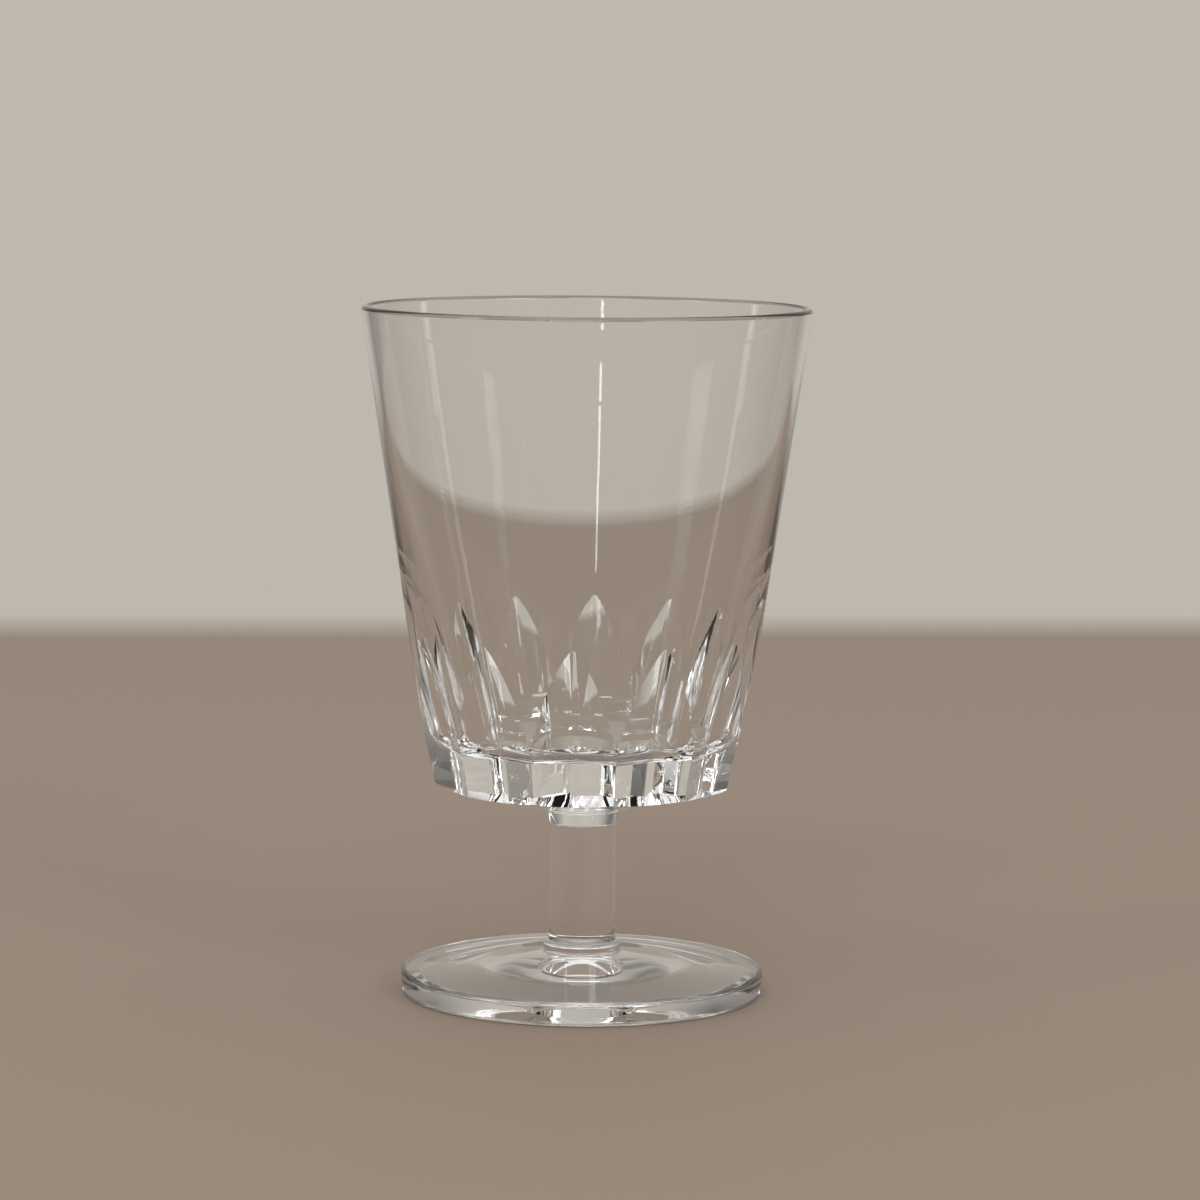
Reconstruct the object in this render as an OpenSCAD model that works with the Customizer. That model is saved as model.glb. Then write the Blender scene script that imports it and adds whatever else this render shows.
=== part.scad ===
// Footed sherbet glass with a short stem: a tapered bowl with a ring of cut flutes,
// a plain round stem and a shallow flared foot, three pieces of glass fused end to end.
// Millimetres, +Z up, origin at the centre of the foot's underside. One flute faces -Y, the front.

/* [Foot] */
// Outer diameter of the foot
foot_d = 61; // [54:0.5:68]
// Height of the foot's outer edge
foot_edge_h = 4; // [3.6:0.1:5.5]
// Rounding of the edge's upper corner
foot_edge_r = 0.9; // [0.4:0.1:1.6]
// Rounding of the edge's lower corner
foot_sole_r = 0.8; // [0.4:0.1:1.4]
// Rise of the foot's top near its edge, degrees
foot_slope = 4.8; // [3:0.1:7]
// Rise of the foot's top near the stem, degrees
flare_slope = 10.4; // [8:0.1:12]
// Diameter of the ring where the two slopes meet
flare_d = 31; // [28:0.5:36]
// Rounding between the two slopes
flare_r = 100; // [20:5:100]
// Width of the flat ring that the foot stands on
rest_w = 2.5; // [1.5:0.1:4]
// Height of the hollow under the foot
hollow_h = 1.5; // [0.8:0.1:2]
// Rise of the hollow from the ring, degrees
hollow_slope = 6.5; // [5.5:0.1:8]
// Rounding between the hollow's slope and its flat middle
hollow_r = 80; // [10:5:100]
// Height of the round collar under the stem
collar_h = 1.7; // [1.2:0.1:2.6]
// How far the collar stands out past the stem
collar_lip = 0.9; // [0.6:0.1:1.2]

/* [Stem] */
// Diameter of the stem
stem_d = 11.2; // [9:0.1:14]
// Length of the stem between its two joints
stem_len = 20; // [14:0.5:36]

/* [Bowl] */
// Height of the bowl, from its joint with the stem to the rim
bowl_h = 86.8; // [80:0.2:96]
// Outer diameter at the rim
rim_d = 75; // [71:0.5:80]
// Thickness of the rounded rim
rim_t = 1.4; // [1:0.1:2]
// Lean of the outer wall from upright, degrees
wall_lean = 8.4; // [7:0.1:9]
// Lean of the inner wall from upright at the rim, degrees
inner_lean_rim = 7.8; // [7:0.1:8.4]
// Lean of the inner wall from upright at the floor, degrees
inner_lean_floor = 15.2; // [13:0.1:17]
// Height of the flared button that meets the stem
button_h = 2.4; // [1.6:0.1:3.2]
// How far the button's top stands out past the stem
button_flare = 0.5; // [0.2:0.1:1.2]
// Rise of the bowl's underside, degrees
under_rise = 12.7; // [8:0.1:16]
// Rounding between the underside and the wall
corner_r = 2.2; // [1.4:0.1:3]
// Thickness of the base over the button
base_t = 11; // [10:0.1:14]
// Rounding between the inner floor and the inner wall
floor_r = 4.5; // [3:0.1:7]

/* [Flutes] */
// Number of flutes round the bowl
flute_count = 12; // [10:1:16]
// Length of a flute along the wall, from the lower corner to its tip
flute_len = 24.7; // [18:0.1:32]
// Depth of a flute at the lower corner
flute_depth = 2.85; // [1.6:0.05:3.2]
// Angle between a flute's two faces, degrees
flute_angle = 154; // [140:1:164]
// Rounding along the bottom of a flute
flute_edge_r = 3; // [1:0.1:5]
// Radius of the wheel that cuts a flute
flute_wheel_r = 167; // [120:1:240]

/* [Hidden] */
$fn = 160;

glass = [0.80, 0.90, 0.93, 0.55];
// Roundings are this much larger than the radius that just touches, so they cross the lines they meet.
blend = 0.004;
// Gentle curves are drawn in this many steps.
curve_steps = 16;
stem_r = stem_d / 2;
foot_r = foot_d / 2;

// The foot's top touches the upper edge rounding, rises slowly and then flares up to the collar.
edge_c = [foot_r - foot_edge_r, foot_edge_h - foot_edge_r];
edge_top = edge_c + foot_edge_r * [sin(foot_slope), cos(foot_slope)];
flare_z = edge_top.y + (edge_top.x - flare_d / 2) * tan(foot_slope);
flare_p = [flare_d / 2, flare_z];
collar_r = collar_h / 2;
collar_flat = stem_r + collar_lip - collar_r;
collar_z = flare_z + (flare_p.x - collar_flat) * tan(flare_slope);
collar_p = [collar_flat, collar_z];
stem_z = collar_z + collar_h;
bowl_z = stem_z + stem_len;

// The underside is hollow inside the ring that the foot stands on.
sole_p = [foot_r - foot_sole_r, 0];
rest_p = sole_p - [rest_w, 0];
hollow_p = [rest_p.x - hollow_h / tan(hollow_slope), hollow_h];
hollow_mid = [0, hollow_h];

// The rim is a full round that both wall lines touch.
rim_c = [(rim_d - rim_t) / 2, bowl_h - rim_t / 2];
wall_dir = [sin(wall_lean), cos(wall_lean)];
wall_out = across(wall_lean);
wall_top = rim_c + rim_t / 2 * wall_out;
inner_top = rim_c - rim_t / 2 * across(inner_lean_rim);

// The bowl's underside rises outwards from the top of the button.
button_r = stem_r + button_flare;
under_dir = [cos(under_rise), sin(under_rise)];
under_out = [sin(under_rise), -cos(under_rise)];

// Rounded corners: centres lie where the two offset lines cross.
corner_c = cross_point(wall_top - corner_r * wall_out, wall_dir,
    [button_r, button_h] - corner_r * under_out, under_dir);
corner_wall = corner_c + corner_r * wall_out;
corner_under = corner_c + corner_r * under_out;
floor_z = button_h + base_t;

// The inner wall is one long arc. It leans more towards the floor, so the glass grows thicker there.
floor_wall_z = floor_z + floor_r * (1 - sin(inner_lean_floor));
inner_r = (inner_top.y - floor_wall_z) / (sin(inner_lean_floor) - sin(inner_lean_rim));
inner_c = inner_top - inner_r * across(inner_lean_rim);
inner_step = (inner_lean_floor - inner_lean_rim) / curve_steps;
inner_wall = [for (i = [0 : curve_steps]) inner_c + inner_r * across(inner_lean_rim + i * inner_step)];
floor_c = inner_wall[curve_steps] - floor_r * across(inner_lean_floor);

// Each flute is cut by a wheel with a blunt vee for an edge. The wheel enters the wall at the
// flute's tip and reaches the flute's depth at the lower corner.
flute_tip = corner_wall + flute_len * wall_dir;
flute_chord = norm([flute_len, flute_depth]);
flute_lean = wall_lean + atan(flute_depth / flute_len) + asin(flute_chord / 2 / flute_wheel_r);
wheel_c = flute_tip + flute_wheel_r * across(flute_lean);
wheel_edge = flute_wheel_r - flute_edge_r;
wheel_touch = [wheel_edge + flute_edge_r * sin(flute_angle / 2), flute_edge_r * cos(flute_angle / 2)];
wheel_inner = flute_wheel_r - 3 * flute_depth;
// The cut runs past both ends of the flute by this angle.
wheel_over = 4;
wheel_start = 180 - flute_lean - wheel_over;
wheel_turn = 2 * asin(flute_chord / 2 / flute_wheel_r) + 2 * wheel_over;
wheel_half = 1.2 * flute_tip.x * tan(180 / flute_count);
wheel_side = wheel_touch.x - (wheel_half - wheel_touch.y) / tan(flute_angle / 2);

// Unit vector that points out of a wall with this lean.
function across(lean) = [cos(lean), -sin(lean)];

// Where the line through p along d crosses the line through q along e.
function cross_point(p, d, q, e) = p + d * (cross(q - p, e) / cross(d, e));

// Points of an arc of radius r that rounds corner c between the sides to p and to q.
function bend(p, c, q, r) =
    let (
        u = (p - c) / norm(p - c),
        v = (q - c) / norm(q - c),
        half = acos(u * v) / 2,
        m = c + (u + v) / norm(u + v) * r / sin(half),
        from = c + u * r / tan(half) - m,
        turn = sign(cross(u, v)) * (2 * half - 180)
    )
    [for (i = [0 : curve_steps]) m + turned(from, turn * i / curve_steps)];

// The vector p turned by an angle.
function turned(p, angle) = [p.x * cos(angle) - p.y * sin(angle), p.x * sin(angle) + p.y * cos(angle)];

module foot() {
    color(glass)
        rotate_extrude()
            foot_profile();
}

module foot_profile() {
    polygon([
        hollow_mid,
        each bend(hollow_mid, hollow_p, rest_p, hollow_r),
        rest_p,
        sole_p,
        [sole_p.x, foot_sole_r],
        [foot_r, foot_sole_r],
        [foot_r, edge_c.y],
        edge_c,
        edge_top,
        each bend(edge_top, flare_p, collar_p, flare_r),
        collar_p,
        [collar_flat, stem_z],
        [0, stem_z]
    ]);
    translate([sole_p.x, foot_sole_r])
        circle(r = foot_sole_r);
    translate(edge_c)
        circle(r = foot_edge_r);
    translate([collar_flat, collar_z + collar_r])
        circle(r = collar_r);
}

module stem() {
    color(glass)
        translate([0, 0, stem_z])
            cylinder(r = stem_r, h = stem_len);
}

module bowl() {
    color(glass)
        translate([0, 0, bowl_z])
            difference() {
                rotate_extrude()
                    bowl_profile();
                for (i = [0 : flute_count - 1])
                    rotate([0, 0, i * 360 / flute_count - 90])
                        flute();
            }
}

module bowl_profile() {
    difference() {
        union() {
            polygon([
                [0, 0],
                [stem_r, 0],
                [button_r, button_h],
                corner_under,
                corner_c,
                corner_wall,
                wall_top,
                rim_c,
                each inner_wall,
                floor_c,
                [floor_c.x, floor_z],
                [0, floor_z]
            ]);
            translate(corner_c)
                circle(r = corner_r + blend);
            translate(rim_c)
                circle(r = rim_t / 2 + blend);
        }
        translate(floor_c)
            circle(r = floor_r + blend);
    }
}

module flute() {
    translate([wheel_c.x, 0, wheel_c.y])
        rotate([90, 0, 0])
            rotate_extrude(angle = wheel_turn, start = wheel_start, $fn = 480)
                wheel_profile();
}

module wheel_profile() {
    polygon([
        wheel_touch,
        [wheel_side, wheel_half],
        [wheel_inner, wheel_half],
        [wheel_inner, -wheel_half],
        [wheel_side, -wheel_half],
        [wheel_touch.x, -wheel_touch.y]
    ]);
    translate([wheel_edge, 0])
        circle(r = flute_edge_r + blend, $fn = 160);
}

foot();
stem();
bowl();
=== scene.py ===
# %% [markdown]
# # A cut sherbet glass
#
# The object is a small footed glass in three pieces of clear crystal, fused end to end: a tapered
# bowl with a ring of twelve cut flutes, a plain round stem and a shallow flared foot. Glass shows
# no colour of its own, so nearly all of its look comes from true shapes: every wall has its real
# thickness, every cut its real edges, and the light does the rest.
#
# The imported CAD model is loaded first. It is the fixed frame that gives each piece its place and
# size, in metres.

# %% Load the frame
import math

import bpy
from mathutils import Matrix, Vector


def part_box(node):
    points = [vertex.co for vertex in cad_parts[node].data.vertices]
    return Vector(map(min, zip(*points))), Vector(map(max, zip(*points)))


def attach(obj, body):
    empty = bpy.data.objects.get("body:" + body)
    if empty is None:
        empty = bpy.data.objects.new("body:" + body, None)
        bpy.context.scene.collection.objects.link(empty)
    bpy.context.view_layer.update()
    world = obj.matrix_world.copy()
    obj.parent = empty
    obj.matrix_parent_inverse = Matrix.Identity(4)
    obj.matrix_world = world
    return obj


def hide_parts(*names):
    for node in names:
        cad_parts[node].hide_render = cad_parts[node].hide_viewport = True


MM = 0.001
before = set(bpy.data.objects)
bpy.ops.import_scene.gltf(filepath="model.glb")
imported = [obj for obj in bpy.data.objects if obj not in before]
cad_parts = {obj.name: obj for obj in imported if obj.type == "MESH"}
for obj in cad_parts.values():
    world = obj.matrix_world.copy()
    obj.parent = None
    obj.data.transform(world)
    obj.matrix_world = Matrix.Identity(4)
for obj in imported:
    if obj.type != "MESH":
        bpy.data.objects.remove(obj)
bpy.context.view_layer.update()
foot_low, foot_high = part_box("foot")
stem_low, stem_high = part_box("stem")
bowl_low, bowl_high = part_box("bowl")
print("CAD nodes:", sorted(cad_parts), "height in mm:", round(bowl_high.z / MM, 2))

# %% [markdown]
# ## Drawing and turning an outline
#
# Bowl, stem and foot are all round, so each starts as half an outline in the XZ plane. By hand one
# would extrude a single vertex from corner to corner and spin the finished line. The helpers below
# do just that. An outline is a list of corners: radius, height and rounding. At a rounded corner
# the pen stops short, by the rounding times the tangent of half the turn, and spins the last vertex
# round the arc's centre, so even a very long, gentle curve is a true arc.

# %% Helpers for outlines
SMOOTH_STEP = math.radians(5)
LONG_STEP = 1.5 * MM
WELD_DISTANCE = 0.002 * MM
HAIR = 0.001 * MM


def deselect_all():
    """Leaves edit mode and deselects everything, as operators act on all that is selected."""
    if bpy.context.object and bpy.context.object.mode == "EDIT":
        bpy.ops.object.mode_set(mode="OBJECT")
    bpy.ops.object.select_all(action="DESELECT")


def draw_outline(name, corners, filled=True):
    """An outline in the XZ plane from (across, up, rounding) corners, as one face or as a line."""
    deselect_all()
    points = [Vector((across, 0, up)) for across, up, _ in corners]
    bpy.ops.mesh.primitive_plane_add(size=MM)
    piece = bpy.context.object
    piece.name = piece.data.name = name
    bpy.ops.object.mode_set(mode="EDIT")
    bpy.ops.mesh.merge(type="CENTER")
    bpy.ops.transform.translate(value=points[0])
    pen = points[0]
    for index, (_, _, rounding) in enumerate(corners[1:], start=1):
        here = points[index]
        if not rounding:
            bpy.ops.mesh.extrude_region_move(TRANSFORM_OT_translate={"value": here - pen})
            pen = here
            continue
        ahead = (points[index + 1] - here).normalized()
        arriving = (here - points[index - 1]).normalized()
        turn = arriving.angle(ahead)
        reach = rounding * math.tan(turn / 2)
        side = 1 if arriving.cross(ahead).y > 0 else -1
        start = here - reach * arriving
        centre = start + side * rounding * Vector((arriving.z, 0, -arriving.x))
        bpy.ops.mesh.extrude_region_move(TRANSFORM_OT_translate={"value": start - pen})
        bpy.ops.mesh.spin(
            steps=max(math.ceil(turn / SMOOTH_STEP), math.ceil(turn * rounding / LONG_STEP)),
            angle=-side * turn,
            center=centre,
            axis=(0, 1, 0),
        )
        pen = here + reach * ahead
    bpy.ops.mesh.select_all(action="SELECT")
    if filled:
        bpy.ops.mesh.edge_face_add()
    bpy.ops.object.mode_set(mode="OBJECT")
    return piece


def spin_outline(piece, angle, steps, centre=(0, 0, 0)):
    """Turns the outline about an upright axis through the centre into a closed skin."""
    bpy.ops.object.mode_set(mode="EDIT")
    bpy.ops.mesh.select_all(action="SELECT")
    bpy.ops.mesh.spin(steps=steps, angle=angle, center=centre, axis=(0, 0, 1))
    weld(piece)


def weld(piece):
    """Merges doubled vertices, removes slivers and points all faces outwards."""
    bpy.context.view_layer.objects.active = piece
    bpy.ops.object.mode_set(mode="EDIT")
    bpy.ops.mesh.select_all(action="SELECT")
    bpy.ops.mesh.remove_doubles(threshold=WELD_DISTANCE)
    bpy.ops.mesh.dissolve_degenerate(threshold=HAIR)
    bpy.ops.mesh.select_all(action="SELECT")
    bpy.ops.mesh.normals_make_consistent(inside=False)
    bpy.ops.object.mode_set(mode="OBJECT")


def describe(piece):
    """Prints a piece's faces and size."""
    size = [round(side / MM, 2) for side in piece.dimensions]
    print(piece.name, "faces:", len(piece.data.polygons), "size in mm:", size)


# %% [markdown]
# ## One slice of the bowl
#
# The bowl repeats twelve times round its axis, so only one slice is modelled: the outline is spun
# through a twelfth of a turn, from the middle of one ridge to the middle of the next. The outline
# runs from the joint with the stem, over the small flared button, along the rising underside, round
# the lower corner, up the outer wall, over the rim and down the inner wall to the thick floor. The
# inner wall is one long arc that leans more and more, so the glass grows thicker towards the base.
# Neighbouring arcs stop a hair short of each other, because the pen can't draw a line of no length.

# %% Bowl slice
FLUTES = 12
SLICE = 2 * math.pi / FLUTES
SLICE_STEPS = 30
RIM_WALL = 1.4 * MM
OUTER_LEAN = math.tan(math.radians(8.4))
INNER_LEAN_RIM = math.radians(7.8)
INNER_LEAN_FLOOR = math.radians(15.2)
UNDER_RISE = math.tan(math.radians(12.7))
BUTTON_HEIGHT = 2.4 * MM
BUTTON_FLARE = 0.5 * MM
BASE_THICKNESS = 11 * MM
CORNER_ROUND = 2.2 * MM
FLOOR_ROUND = 4.5 * MM
BUTTON_ROUND = 0.5 * MM
JOINT_ROUND = 0.12 * MM
RIM_SHARE = 0.999
WALL_SHARE = 0.9999

stem_radius = stem_high.x
joint_top = bowl_low.z
rim_top = bowl_high.z
rim_round = RIM_WALL / 2 * RIM_SHARE
rim_middle = bowl_high.x - RIM_WALL / 2
rim_outside = rim_middle + RIM_WALL / 2 * (math.sqrt(1 + OUTER_LEAN**2) + OUTER_LEAN)
rim_reach = rim_round * math.tan((math.pi / 2 - INNER_LEAN_RIM) / 2)
rim_inside = rim_middle - rim_reach
button_top = joint_top + BUTTON_HEIGHT
button_radius = stem_radius + BUTTON_FLARE
floor_up = button_top + BASE_THICKNESS
floor_reach = FLOOR_ROUND * math.tan((math.pi / 2 - INNER_LEAN_FLOOR) / 2)
wall_reach = (
    rim_top
    - floor_up
    - rim_reach * math.cos(INNER_LEAN_RIM)
    - floor_reach * math.cos(INNER_LEAN_FLOOR)
) / (math.cos(INNER_LEAN_RIM) + math.cos(INNER_LEAN_FLOOR))
wall_round = wall_reach / math.tan((INNER_LEAN_FLOOR - INNER_LEAN_RIM) / 2)
wall_radius = rim_inside - (rim_reach + wall_reach) * math.sin(INNER_LEAN_RIM)
wall_up = rim_top - (rim_reach + wall_reach) * math.cos(INNER_LEAN_RIM)
floor_radius = wall_radius - (floor_reach + wall_reach) * math.sin(INNER_LEAN_FLOOR)
corner_radius = (
    rim_outside - (rim_top - button_top + button_radius * UNDER_RISE) * OUTER_LEAN
) / (1 - OUTER_LEAN * UNDER_RISE)
corner_up = button_top + (corner_radius - button_radius) * UNDER_RISE

bowl = draw_outline(
    "bowl_crystal",
    [
        (0, joint_top, 0),
        (stem_radius, joint_top, JOINT_ROUND),
        (button_radius, button_top, BUTTON_ROUND),
        (corner_radius, corner_up, CORNER_ROUND),
        (rim_outside, rim_top, rim_round),
        (rim_inside, rim_top, rim_round),
        (wall_radius, wall_up, wall_round * WALL_SHARE),
        (floor_radius, floor_up, FLOOR_ROUND),
        (0, floor_up, 0),
    ],
)
spin_outline(bowl, SLICE, SLICE_STEPS)
describe(bowl)

# %% [markdown]
# ## The flute cutter
#
# A flute is ground by a large wheel whose edge is a wide, slightly blunt vee. The wheel is pressed
# into the wall near the base, so the cut starts in a point, widens into a gothic arch and grows
# deeper downwards, until neighbouring flutes meet in sharp ridges. The cutter is a piece of that
# wheel: the vee is drawn as an outline, spun a little way about the wheel's axis, stood upright and
# moved to the middle of the slice. A boolean takes it away.

# %% Cut the flute
FLUTE_LENGTH = 24.7 * MM
FLUTE_DEPTH = 2.85 * MM
FLUTE_ANGLE = math.radians(154)
FLUTE_ROUND = 3 * MM
WHEEL_RADIUS = 167 * MM
WHEEL_OVER = math.radians(2)
WHEEL_TURN = math.radians(17)
WHEEL_STEPS = 48
CUTTER_REACH = 9 * MM

wall_angle = math.atan(OUTER_LEAN)
corner_turn = math.pi / 2 - wall_angle - math.atan(UNDER_RISE)
corner_tangent = CORNER_ROUND * math.tan(corner_turn / 2)
flute_top = corner_up + (corner_tangent + FLUTE_LENGTH) * math.cos(wall_angle)
flute_tip = corner_radius + (corner_tangent + FLUTE_LENGTH) * math.sin(wall_angle)
flute_chord = math.hypot(FLUTE_LENGTH, FLUTE_DEPTH)
chord_lean = wall_angle + math.atan(FLUTE_DEPTH / FLUTE_LENGTH)
tip_lean = chord_lean + math.asin(flute_chord / 2 / WHEEL_RADIUS)
vee_tip = FLUTE_ROUND * (1 - 1 / math.sin(FLUTE_ANGLE / 2))
vee_spread = (CUTTER_REACH - vee_tip) * math.tan(FLUTE_ANGLE / 2)

cutter = draw_outline(
    "flute_cutter",
    [
        (CUTTER_REACH, -vee_spread, 0),
        (vee_tip, 0, FLUTE_ROUND),
        (CUTTER_REACH, vee_spread, 0),
    ],
)
hub = Vector((WHEEL_RADIUS, 0, 0))
spin_outline(cutter, -WHEEL_TURN, WHEEL_STEPS, hub)
hub_across = flute_tip + WHEEL_RADIUS * math.cos(tip_lean)
hub_up = flute_top - WHEEL_RADIUS * math.sin(tip_lean)
hub_place = Vector((hub_across * math.cos(SLICE / 2), -hub_across * math.sin(SLICE / 2), hub_up))
cutter.rotation_euler = (math.pi / 2, tip_lean + WHEEL_OVER, -SLICE / 2)
cutter.location = hub_place - cutter.rotation_euler.to_matrix() @ hub
print("lean of a flute at its tip in degrees:", round(math.degrees(tip_lean), 1))


def cut_away(piece, tool):
    """Takes the tool away from the piece with an applied boolean and deletes the tool."""
    deselect_all()
    piece.select_set(True)
    bpy.context.view_layer.objects.active = piece
    boolean = piece.modifiers.new("cut", "BOOLEAN")
    boolean.operation = "DIFFERENCE"
    boolean.solver = "EXACT"
    boolean.object = tool
    bpy.ops.object.modifier_apply(modifier=boolean.name)
    bpy.data.objects.remove(tool)


cut_away(bowl, cutter)
describe(bowl)

# %% [markdown]
# ## From one slice to the whole bowl
#
# The two flat sides of the slice only closed it for the boolean. They are found by their place, in
# the two planes through the axis, and deleted. Spin with duplicates then copies the slice eleven
# times round the axis, and welding joins the copies along the ridges. The finished bowl is turned
# half a slice, so that one flute looks straight to the front.

# %% Repeat the slice
SHARP_EDGE = math.radians(7)


def open_side(piece, azimuth):
    """Deletes the faces that lie in the half plane through the axis at that azimuth."""
    across = Vector((-math.sin(azimuth), math.cos(azimuth), 0))
    bpy.ops.object.mode_set(mode="EDIT")
    bpy.ops.mesh.select_mode(type="FACE")
    bpy.ops.mesh.select_all(action="DESELECT")
    bpy.ops.object.mode_set(mode="OBJECT")
    points = piece.data.vertices
    for face in piece.data.polygons:
        face.select = all(abs(points[i].co.dot(across)) < HAIR for i in face.vertices)
    bpy.ops.object.mode_set(mode="EDIT")
    bpy.ops.mesh.delete(type="FACE")
    bpy.ops.object.mode_set(mode="OBJECT")


def smooth_glass(piece):
    """Smooth shading that keeps cut edges sharp and lets the larger faces set the normals."""
    deselect_all()
    piece.select_set(True)
    bpy.context.view_layer.objects.active = piece
    bpy.ops.object.shade_smooth_by_angle(angle=SHARP_EDGE)
    weighted = piece.modifiers.new("weighted", "WEIGHTED_NORMAL")
    weighted.keep_sharp = True
    bpy.ops.object.modifier_apply(modifier=weighted.name)


open_side(bowl, 0)
open_side(bowl, -SLICE)
bpy.ops.object.mode_set(mode="EDIT")
bpy.ops.mesh.select_mode(type="VERT")
bpy.ops.mesh.select_all(action="SELECT")
bpy.ops.mesh.spin(
    steps=FLUTES - 1,
    angle=2 * math.pi - SLICE,
    center=(0, 0, 0),
    axis=(0, 0, 1),
    dupli=True,
)
weld(bowl)
bowl.rotation_euler.z = SLICE / 2
deselect_all()
bowl.select_set(True)
bpy.ops.object.transform_apply(rotation=True)
smooth_glass(bowl)
describe(bowl)

# %% [markdown]
# ## The stem
#
# The stem is a drawn rod. Its middle is drawn in by a hair, and its two ends have a tiny rounding,
# which is what leaves the fine line at each fused joint.

# %% Stem
STEM_WAIST = 0.06 * MM
WAIST_SHARE = 0.9
ROUND_STEPS = 180

stem_half = (stem_high.z - stem_low.z) / 2
waist_turn = 2 * math.atan(STEM_WAIST / stem_half)
waist_round = WAIST_SHARE * stem_half / math.tan(waist_turn / 2)
stem = draw_outline(
    "stem_crystal",
    [
        (0, stem_low.z, 0),
        (stem_radius, stem_low.z, JOINT_ROUND),
        (stem_radius - STEM_WAIST, stem_low.z + stem_half, waist_round),
        (stem_radius, stem_high.z, JOINT_ROUND),
        (0, stem_high.z, 0),
    ],
    filled=False,
)
spin_outline(stem, 2 * math.pi, ROUND_STEPS)
smooth_glass(stem)
describe(stem)

# %% [markdown]
# ## The foot
#
# The foot is like a saucer turned over. Its top rises slowly from the edge and flares up towards
# the stem. Its underside is a little hollow, so the glass stands on a flat ring near the edge. The
# two faces run nearly side by side, which is why the table shows through the foot so plainly. A
# small round collar rises in the middle, where the stem was set on.

# %% Foot
EDGE_HEIGHT = 4 * MM
EDGE_ROUND = 0.9 * MM
SOLE_ROUND = 0.8 * MM
FOOT_SLOPE = math.tan(math.radians(4.8))
FLARE_SLOPE = math.tan(math.radians(10.4))
FLARE_RADIUS = 15.5 * MM
FLARE_ROUND = 100 * MM
REST_WIDTH = 2.5 * MM
REST_ROUND = 1 * MM
HOLLOW_HEIGHT = 1.5 * MM
HOLLOW_SLOPE = math.tan(math.radians(6.5))
HOLLOW_ROUND = 80 * MM
COLLAR_LIP = 0.9 * MM
COLLAR_FOOT = 0.5 * MM
COLLAR_FOOT_ROUND = 0.4 * MM
COLLAR_ROUND = 0.7 * MM
CREASE_DEPTH = 0.15 * MM
CREASE_ROUND = 0.3 * MM

foot_radius = foot_high.x
edge_corner = EDGE_HEIGHT - EDGE_ROUND + EDGE_ROUND * (math.sqrt(1 + FOOT_SLOPE**2) - FOOT_SLOPE)
flare_up = edge_corner + (foot_radius - FLARE_RADIUS) * FOOT_SLOPE
rest_radius = foot_radius - SOLE_ROUND - REST_WIDTH
hollow_radius = rest_radius - HOLLOW_HEIGHT / HOLLOW_SLOPE
collar_radius = stem_radius + COLLAR_LIP
crease_radius = collar_radius - CREASE_DEPTH
crease_up = flare_up + (FLARE_RADIUS - crease_radius) * FLARE_SLOPE
foot = draw_outline(
    "foot_crystal",
    [
        (0, HOLLOW_HEIGHT, 0),
        (hollow_radius, HOLLOW_HEIGHT, HOLLOW_ROUND),
        (rest_radius, 0, REST_ROUND),
        (foot_radius, 0, SOLE_ROUND),
        (foot_radius, edge_corner, EDGE_ROUND),
        (FLARE_RADIUS, flare_up, FLARE_ROUND),
        (crease_radius, crease_up, CREASE_ROUND),
        (collar_radius, crease_up + COLLAR_FOOT, COLLAR_FOOT_ROUND),
        (collar_radius, foot_high.z, COLLAR_ROUND),
        (stem_radius, foot_high.z, 0),
        (0, foot_high.z, 0),
    ],
    filled=False,
)
spin_outline(foot, 2 * math.pi, ROUND_STEPS)
smooth_glass(foot)
describe(foot)

# %% [markdown]
# ## Clear crystal
#
# Crystal is a smooth, colourless glass that bends light a little more than window glass. The shader
# needs full transmission and the right index of refraction, and the shapes do the rest. Two faint
# patterns keep it from looking like a computer's glass: long upright waves left by drawing and
# fire-polishing the wall, as a very shallow bump, and a breath of roughness where it was wiped.

# %% Crystal material
CRYSTAL_INDEX = 1.53
CRYSTAL_TINT = (0.985, 0.992, 0.99, 1)
WAVE_SCALE = 160
WAVE_DETAIL = 2
WAVE_STRETCH = 0.04
WAVE_DEPTH = 0.010 * MM
WIPE_SCALE = 90
WIPE_DETAIL = 4
WIPE_START = 0.55
WIPE_END = 0.8
WIPE_ROUGHNESS = 0.02


def new_material(name):
    """A new material with its nodes and links."""
    material = bpy.data.materials.new(name)
    material.use_nodes = True
    return material, material.node_tree.nodes, material.node_tree.links


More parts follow.
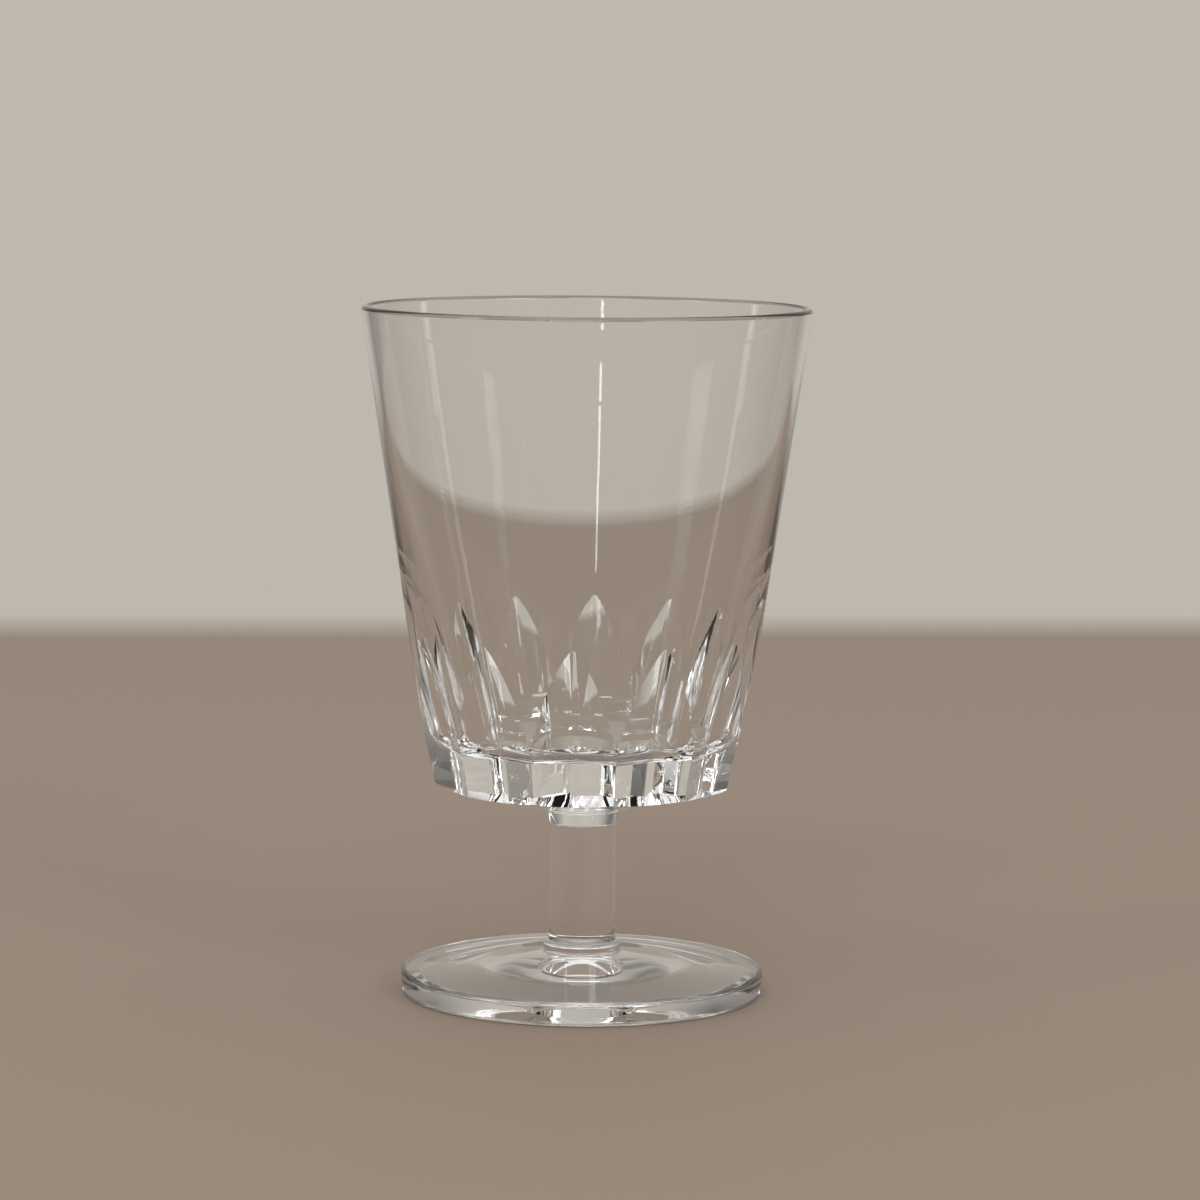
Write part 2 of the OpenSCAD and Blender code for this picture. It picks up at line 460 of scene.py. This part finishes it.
def clear_crystal():
    """Smooth colourless glass with faint upright waves and wipe marks."""
    material, nodes, links = new_material("clear_crystal")
    shader = nodes["Principled BSDF"]
    shader.inputs["Base Color"].default_value = CRYSTAL_TINT
    shader.inputs["Transmission Weight"].default_value = 1
    shader.inputs["IOR"].default_value = CRYSTAL_INDEX
    place = nodes.new("ShaderNodeTexCoord")
    stretch = nodes.new("ShaderNodeMapping")
    stretch.inputs["Scale"].default_value = (1, 1, WAVE_STRETCH)
    waves = nodes.new("ShaderNodeTexNoise")
    waves.inputs["Scale"].default_value = WAVE_SCALE
    waves.inputs["Detail"].default_value = WAVE_DETAIL
    bump = nodes.new("ShaderNodeBump")
    bump.inputs["Distance"].default_value = WAVE_DEPTH
    links.new(place.outputs["Object"], stretch.inputs["Vector"])
    links.new(stretch.outputs["Vector"], waves.inputs["Vector"])
    links.new(waves.outputs["Fac"], bump.inputs["Height"])
    links.new(bump.outputs["Normal"], shader.inputs["Normal"])
    wipes = nodes.new("ShaderNodeTexNoise")
    wipes.inputs["Scale"].default_value = WIPE_SCALE
    wipes.inputs["Detail"].default_value = WIPE_DETAIL
    spread = nodes.new("ShaderNodeMapRange")
    spread.inputs["From Min"].default_value = WIPE_START
    spread.inputs["From Max"].default_value = WIPE_END
    spread.inputs["To Max"].default_value = WIPE_ROUGHNESS
    links.new(place.outputs["Object"], wipes.inputs["Vector"])
    links.new(wipes.outputs["Fac"], spread.inputs["Value"])
    links.new(spread.outputs["Result"], shader.inputs["Roughness"])
    return material


def fused_joint():
    """A face without any surface, for glass that is fused to glass."""
    material, nodes, _ = new_material("fused_joint")
    nodes["Principled BSDF"].inputs["Alpha"].default_value = 0
    return material


crystal = clear_crystal()
joint = fused_joint()
print("crystal bends light by an index of", CRYSTAL_INDEX)

# %% [markdown]
# ## Fused joints
#
# Where two pieces are fused, glass meets glass and light passes straight on. The pieces stay
# separate and closed, so each has a flat face there, one against the other. Those faces take a
# clear material with no surface of its own, because a skin of air between them would shine like a
# mirror.

# %% Give the pieces their glass
FLAT = 0.9999


def dress(piece, node, joint_heights):
    """Gives a piece its glass, clears its joint faces and puts it in the place of its CAD node."""
    piece.data.materials.clear()
    piece.data.materials.append(crystal)
    piece.data.materials.append(joint)
    cleared = 0
    for face in piece.data.polygons:
        at_joint = any(abs(face.center.z - height) < HAIR for height in joint_heights)
        inside = face.center.xy.length < stem_radius
        if at_joint and inside and abs(face.normal.z) > FLAT:
            face.material_index = 1
            cleared += 1
    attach(piece, "root")
    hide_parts(node)
    print(piece.name, "joint faces:", cleared)


dress(bowl, "bowl", [joint_top])
dress(stem, "stem", [stem_low.z, stem_high.z])
dress(foot, "foot", [foot_high.z])

# %% [markdown]
# ## The table
#
# Glass shows what is around it, so the surroundings matter as much as the shape. A plain table top
# in front of a lighter wall gives the bowl the two tones that its thick wall bends into a curve.
# The table is one plane, turned a little so that its back edge lies level in the picture. A camera
# that is focused on the glass sees such a far edge blurred, so the table fades away along it,
# measured by the plane's own UV map.

# %% Table top
TABLE_COLOUR = (0.285, 0.22, 0.17, 1)
TABLE_ROUGHNESS = 0.7
TABLE_WIDTH = 3.0
TABLE_FRONT = -1.5
TABLE_BACK = 0.526
TABLE_FADE = 0.055
TABLE_TURN = math.radians(7.5)
TABLE_GAP = 0.1 * MM

deselect_all()
bpy.ops.mesh.primitive_plane_add(
    size=1,
    location=(0, (TABLE_FRONT + TABLE_BACK) / 2, -TABLE_GAP),
    rotation=(0, 0, TABLE_TURN),
)
table = bpy.context.object
table.name = "table_top"
table.scale = (TABLE_WIDTH, TABLE_BACK - TABLE_FRONT, 1)
bpy.ops.object.transform_apply(location=True, rotation=True, scale=True)
table_paint, table_nodes, table_links = new_material("pale_table")
table_shader = table_nodes["Principled BSDF"]
table_shader.inputs["Base Color"].default_value = TABLE_COLOUR
table_shader.inputs["Roughness"].default_value = TABLE_ROUGHNESS
table_place = table_nodes.new("ShaderNodeTexCoord")
table_axes = table_nodes.new("ShaderNodeSeparateXYZ")
table_end = table_nodes.new("ShaderNodeMapRange")
table_end.inputs["From Min"].default_value = 1 - TABLE_FADE / (TABLE_BACK - TABLE_FRONT)
table_end.inputs["To Min"].default_value = 1
table_end.inputs["To Max"].default_value = 0
table_links.new(table_place.outputs["UV"], table_axes.inputs["Vector"])
table_links.new(table_axes.outputs["Y"], table_end.inputs["Value"])
table_links.new(table_end.outputs["Result"], table_shader.inputs["Alpha"])
table.data.materials.append(table_paint)
print("table top reaches behind the glass by mm:", round(TABLE_BACK / MM))

# %% [markdown]
# ## The room
#
# The room has no walls of its own. It is painted into the world by the direction that a ray looks
# in: a pale wall behind the glass, sides that are dark near the table and grow lighter upwards, and
# a bright ceiling. The dark part draws thin dark lines along the edges of the glass, and the
# ceiling lights the rim and the cuts. Each tone fades into the next between two values of a part of
# that direction: how far it looks back, or how far up.

# %% World
WALL_COLOUR = (0.52, 0.48, 0.425, 1)
SHADE_COLOUR = (0.06, 0.058, 0.056, 1)
SIDE_COLOUR = (0.45, 0.43, 0.41, 1)
CEILING_COLOUR = (0.95, 0.94, 0.92, 1)
SIDE_FADE = (0.08, 0.35)
WALL_FADE = (0.75, 0.93)
CEILING_FADE = (0.55, 0.72)

world = bpy.data.worlds.new("soft_room")
bpy.context.scene.world = world
world.use_nodes = True
world_nodes, world_links = world.node_tree.nodes, world.node_tree.links
view = world_nodes.new("ShaderNodeTexCoord")
direction = world_nodes.new("ShaderNodeSeparateXYZ")
world_links.new(view.outputs["Generated"], direction.inputs["Vector"])


def fade(axis, span, colour):
    """A node that fades to the colour where that part of the direction crosses the span."""
    share = world_nodes.new("ShaderNodeMapRange")
    share.inputs["From Min"].default_value, share.inputs["From Max"].default_value = span
    mix = world_nodes.new("ShaderNodeMixRGB")
    mix.inputs["Color2"].default_value = colour
    world_links.new(direction.outputs[axis], share.inputs["Value"])
    world_links.new(share.outputs["Result"], mix.inputs["Fac"])
    return mix


to_side = fade("Z", SIDE_FADE, SIDE_COLOUR)
to_wall = fade("Y", WALL_FADE, WALL_COLOUR)
to_ceiling = fade("Z", CEILING_FADE, CEILING_COLOUR)
to_side.inputs["Color1"].default_value = SHADE_COLOUR
world_links.new(to_side.outputs["Color"], to_wall.inputs["Color1"])
world_links.new(to_wall.outputs["Color"], to_ceiling.inputs["Color1"])
world_links.new(to_ceiling.outputs["Color"], world_nodes["Background"].inputs["Color"])
print("world:", world.name, "nodes:", len(world_nodes))

# %% [markdown]
# ## Lamps
#
# Large soft lamps stand in for windows: one high behind the camera and one on each side of it. Two
# tall narrow ones at the sides draw faint upright streaks on the wall of the bowl. The thin bright
# line down its middle is the image of one small lamp: the inside of the back wall is a hollow
# mirror that leans more and more towards the floor, which stretches a small lamp into a long
# upright line. A lamp's place is given from the middle of the glass: an azimuth of 0 degrees lies
# behind the camera and 90 to its right.

# %% Place the lamps
LAMPS = [
    # name, azimuth, elevation, distance, width, height, power
    ("high_window", -6, 41, 2.2, 1.25, 0.4, 11),
    ("right_window", 45, 26, 2.2, 0.9, 0.5, 9.5),
    ("left_window", -60, 28, 2.2, 0.5, 0.4, 5),
    ("left_streak", -100, 25, 1.6, 0.1, 1.2, 0.6),
    ("right_streak", 104, 25, 1.6, 0.1, 1.2, 0.6),
    ("small_lamp", -4.65, 17.05, 1.342, 0.034, 0.026, 0.077),
]


def soft_lamp(name, azimuth, elevation, distance, width, height, power):
    """A rectangular lamp that looks at the middle of the glass."""
    turn, rise = math.radians(azimuth), math.radians(elevation)
    across, up = math.cos(rise), math.sin(rise)
    back = Vector((math.sin(turn) * across, -math.cos(turn) * across, up))
    lamp = bpy.data.lights.new(name, "AREA")
    lamp.shape = "RECTANGLE"
    lamp.size, lamp.size_y, lamp.energy = width, height, power
    holder = bpy.data.objects.new(name, lamp)
    bpy.context.scene.collection.objects.link(holder)
    holder.location = Vector((0, 0, rim_top / 2)) + back * distance
    holder.rotation_euler = back.to_track_quat("Z", "Y").to_euler()
    holder.visible_camera = False


for lamp_values in LAMPS:
    soft_lamp(*lamp_values)
print("lamps:", len(LAMPS))

# %% [markdown]
# ## The camera
#
# The camera stands a little above the rim and looks slightly down, so that rim and foot show as
# flat ellipses. Its lens is long, which keeps the perspective gentle. Light has to pass many walls
# of glass before it reaches the camera, so the paths are allowed more bounces than usual.

# %% Camera
CAMERA_DISTANCE = 729.4 * MM
CAMERA_HEIGHT = 151.8 * MM
CAMERA_DOWN = math.radians(6.683)
CAMERA_ROUND = math.radians(3.6)
CAMERA_ASIDE = math.radians(0.2)
CAMERA_ROLL = math.radians(0.5)
SENSOR_WIDTH = 36
LENS = 131.565
GLASS_BOUNCES = 24
GLOSSY_BOUNCES = 12
CLEAR_BOUNCES = 16

camera_data = bpy.data.cameras.new("camera")
camera_data.sensor_width = SENSOR_WIDTH
camera_data.lens = LENS
camera = bpy.data.objects.new("camera", camera_data)
bpy.context.scene.collection.objects.link(camera)
bpy.context.scene.camera = camera
camera.location = (
    CAMERA_DISTANCE * math.sin(CAMERA_ROUND),
    -CAMERA_DISTANCE * math.cos(CAMERA_ROUND),
    CAMERA_HEIGHT,
)
turned = Matrix.Rotation(CAMERA_ROUND - CAMERA_ASIDE, 3, "Z")
lowered = Matrix.Rotation(math.pi / 2 - CAMERA_DOWN, 3, "X")
rolled = Matrix.Rotation(CAMERA_ROLL, 3, "Z")
camera.rotation_euler = (turned @ lowered @ rolled).to_euler()
bpy.context.scene.view_settings.view_transform = "Standard"
light_paths = bpy.context.scene.cycles
light_paths.max_bounces = GLASS_BOUNCES
light_paths.transmission_bounces = GLASS_BOUNCES
light_paths.glossy_bounces = GLOSSY_BOUNCES
light_paths.transparent_max_bounces = CLEAR_BOUNCES
print("camera height in mm:", round(CAMERA_HEIGHT / MM, 1))
